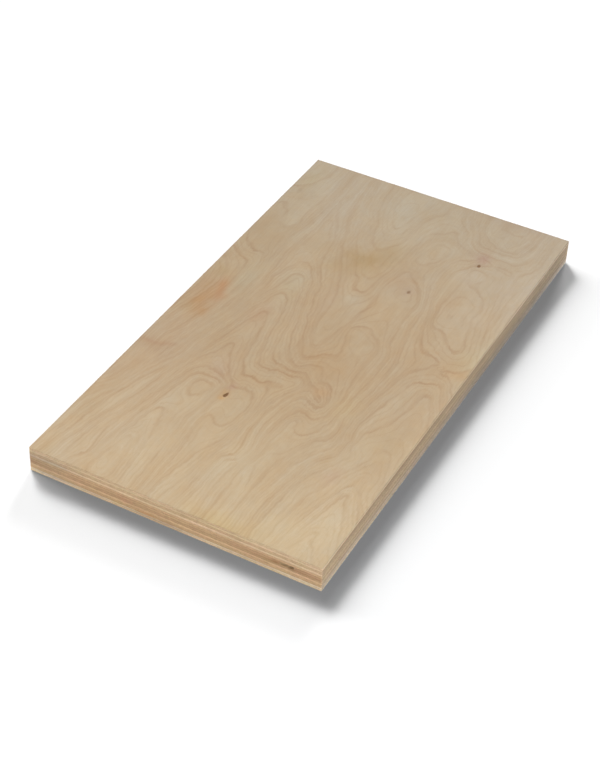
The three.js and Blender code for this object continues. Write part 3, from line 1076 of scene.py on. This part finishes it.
def banded(n, height):
    """The face's wood: darker to the far edge, partly painted shade; tone drifts from ring to ring and in
    clouds.
    """
    place = along_board(n)
    wood = n.mix(n.ramp(place, *NEAR_TO_MIDDLE), FACE_NEAR, FACE_MIDDLE)
    wood = n.mix(n.ramp(place, *MIDDLE_TO_FAR), wood, FACE_FAR)
    slow = n.axes(n.place(BAND_PLACE))
    joined = n.add("CombineXYZ", enumerate((n.times(height, BANDS_PER_RING), slow["X"], slow["Y"])))
    wood = n.drift(wood, "bands", n.texture(joined.outputs[0], *BAND_NOISE))
    for name in ("clouds", "blush"):
        wood = n.drift(wood, name, n.noise(name))
    return wood


def peak(n, value, low, top, high):
    """1 at `top`, falling smoothly to 0 at `low` and at `high`."""
    return n.times(n.ramp(value, low, top), n.ramp(value, high, top))


def ringed(n, wood, height, slope_x, slope_y):
    """The wood with its growth rings drawn: a line and a halo at each, and fainter lines between."""
    squares = n.math("ADD", n.times(slope_x, slope_x), n.times(slope_y, slope_y))
    slope = n.math("MAXIMUM", n.math("SQRT", squares), LEAST_SLOPE)
    away = from_ring(n, height, slope)
    tip = n.ramp(n.math("DIVIDE", n.math("ABSOLUTE", slope_y), slope), *TIP_STRENGTH)
    patchy = n.ramp(n.noise("patches"), *PATCH_STRENGTH)
    faded = n.times(n.ramp(slope, *CROWD_STRENGTH), n.ramp(along_board(n), *FAR_STRENGTH))
    faded = n.times(faded, n.value("ring_strength"))
    strength = n.times(faded, tip, patchy)
    wander = n.times(n.noise("between"), MINOR_WANDER)
    minor = n.math("MULTIPLY_ADD", height, MINOR_RINGS, wander)
    minor_away = n.math("ABSOLUTE", from_ring(n, minor, n.times(slope, MINOR_RINGS)))
    minor_line = n.ramp(minor_away, MINOR_WIDTH, 0.0)
    wood = n.tint(wood, RING_HALO, n.times(peak(n, away, *HALO), strength, HALO_SHARE))
    wood = n.tint(wood, RING_LINE, n.times(peak(n, away, *LINE), strength, LINE_SHARE))
    return n.tint(wood, RING_LINE, n.times(minor_line, patchy, faded, MINOR_SHARE))


def face_wood(node):
    """Rotary-cut birch: growth rings, fibres, pores and stains, with the knots; the sawn edge on its rim."""
    n = Nodes(bpy.data.materials.new("face_wood"))
    slope_x, slope_y = n.value("ring_x"), n.value("ring_y")
    height = ring_height(n, slope_x, slope_y)
    wood = ringed(n, banded(n, height), height, slope_x, slope_y)
    fibres = n.noise("fibres")
    pores = n.ramp(n.noise("pores"), *PORES)
    wood = n.tint(wood, FIBRE, n.spread(fibres, 0.2))
    wood = n.tint(wood, PORE, n.times(pores, 0.5))
    wood = tinted(n, wood)
    ragged = n.math("ADD", n.value("knot"), shift(n, fibres, 0.5))
    wood = n.mix(n.ramp(ragged, *KNOTS), wood, KNOT_COLOUR)
    relief = n.math("ADD", n.times(fibres, 0.5), n.times(pores, -0.6))
    return n.finish(with_rim(n, wood, node), n.ramp(fibres, *ROUGHNESS), relief)


def back_wood(node):
    """The back veneer: the same wood with a plainer figure of long rings."""
    n = Nodes(bpy.data.materials.new("back_wood"))
    across = n.axes(n.place((BACK_RINGS, 0, 0)))["X"]
    phase = n.math("FRACT", n.math("ADD", across, n.times(n.noise("back_bend"), BACK_BEND)))
    fibres = n.noise("fibres")
    wood = n.mix(n.spread(n.noise("back_clouds"), 0.25), FACE_FAR, FACE_NEAR)
    wood = n.tint(wood, RING_LINE, n.times(peak(n, phase, *BACK_LINE), BACK_LINE_SHARE))
    wood = n.tint(wood, BACK_FIBRE, n.spread(fibres, 0.2))
    return n.finish(with_rim(n, wood, node), n.ramp(fibres, *ROUGHNESS), fibres)


def inner_wood(node):
    """An inner veneer, which shows only its sawn edge."""
    n = Nodes(bpy.data.materials.new(f"{node}_wood"))
    wood, fibres, seam = edge_wood(n, node)
    wood = n.mix(n.value("knot"), wood, HOLE_COLOUR)
    relief = n.math("SUBTRACT", fibres, n.times(seam, GLUE_DEPTH))
    return n.finish(wood, EDGE_ROUGHNESS, relief, specular=0.1, bump=0.6)


# --- Pieces ---

for node in VENEERS:
    if node == VENEERS[0]:
        solid, material = outer_veneer(node, up=True), face_wood(node)
    elif node == VENEERS[-1]:
        solid, material = outer_veneer(node, up=False), back_wood(node)
    elif node == CORE:
        solid, material = core_veneer(node), inner_wood(node)
    else:
        solid, material = inner_veneer(node, rim()), inner_wood(node)
    piece = solid.piece(f"{node}_wood", material)
    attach(piece, "root")
    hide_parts(node)
    piece.visible_diffuse = False  # the sheet's shadow stays a neutral grey, with no light off the wood

# --- Floor, light and camera ---


def background_share(n):
    """1 for the rays that see the pale background: the camera's, reflections and what glass lets through."""
    rays = n.add("LightPath").outputs
    seen = n.math("MAXIMUM", rays["Is Camera Ray"], rays["Is Glossy Ray"])
    return n.math("MAXIMUM", seen, rays["Is Transmission Ray"])


def linked(name, data, place=(0, 0, 0)):
    made = bpy.data.objects.new(name, data)
    made.location = place
    bpy.context.scene.collection.objects.link(made)
    return made


def pale_floor():
    """A white floor that keeps the shadow, and looks white to the camera where it is fully lit."""
    mesh = bpy.data.meshes.new("floor")
    half = FLOOR_SIZE / 2
    corners = [(-half, -half, 0), (half, -half, 0), (half, half, 0), (-half, half, 0)]
    mesh.from_pydata(corners, [], [(0, 1, 2, 3)])
    n = Nodes(bpy.data.materials.new("floor_white"))
    strength = n.times(background_share(n), FLOOR_GLOW)
    diffuse = n.add("BsdfDiffuse", {"Color": WHITE})
    glow = n.add("Emission", {"Color": GLOW_COLOUR, "Strength": strength})
    both = n.add("AddShader", {0: diffuse.outputs[0], 1: glow.outputs[0]})
    mesh.materials.append(n.surface(both))
    floor = linked("floor", mesh, (0, 0, -FLOOR_DROP * MM))


def lit_from(name, light, place):
    """Puts a light at a place and turns it so that it shines towards the board."""
    light.cycles.use_multiple_importance_sampling = False
    lamp = linked(name, light, place)
    lamp.rotation_euler = Vector(place).to_track_quat("Z", "Y").to_euler()
    return lamp


def lights():
    for name, bearing, height, share, width in KEYS:
        key = bpy.data.lights.new(name, "SUN")
        turn = math.radians(bearing)
        level, rise = math.cos(math.radians(height)), math.sin(math.radians(height))
        key.energy, key.angle = share * math.pi / rise, math.radians(width)
        lit_from(name, key, (level * math.cos(turn), level * math.sin(turn), rise))
    for name, place, size, energy, colour in FILLS:
        fill = bpy.data.lights.new(name, "AREA")
        fill.shape, fill.size, fill.size_y, fill.energy = "RECTANGLE", *size, energy
        fill.color = colour
        lit_from(name, fill, place).visible_camera = False


def surroundings():
    """A white room, dimmer for the object than for the camera."""
    n = Nodes(bpy.data.worlds.new("room"))
    strength = n.add("MapRange", {"Value": background_share(n), "To Min": ROOM_LIGHT, "To Max": 1.0})
    background = n.add("Background", {"Color": WHITE, "Strength": strength.outputs[0]})
    n.add("OutputWorld", {"Surface": background.outputs[0]})
    bpy.context.scene.world = n.owner


def camera():
    lens = bpy.data.cameras.new("camera")
    lens.lens, lens.sensor_width, lens.sensor_fit = CAMERA_LENS, CAMERA_SENSOR, "HORIZONTAL"
    eye = linked("camera", lens)
    turn, rise, roll = (math.radians(a) for a in (CAMERA_TURN, 90 - CAMERA_DIP, CAMERA_ROLL))
    aim = Matrix.Rotation(turn, 4, "Z") @ Matrix.Rotation(rise, 4, "X") @ Matrix.Rotation(roll, 4, "Z")
    eye.matrix_world = Matrix.Translation(Vector(CAMERA_PLACE) * MM) @ aim
    bpy.context.scene.camera = eye


pale_floor()
lights()
surroundings()
camera()
bpy.context.scene.view_settings.view_transform = "Standard"
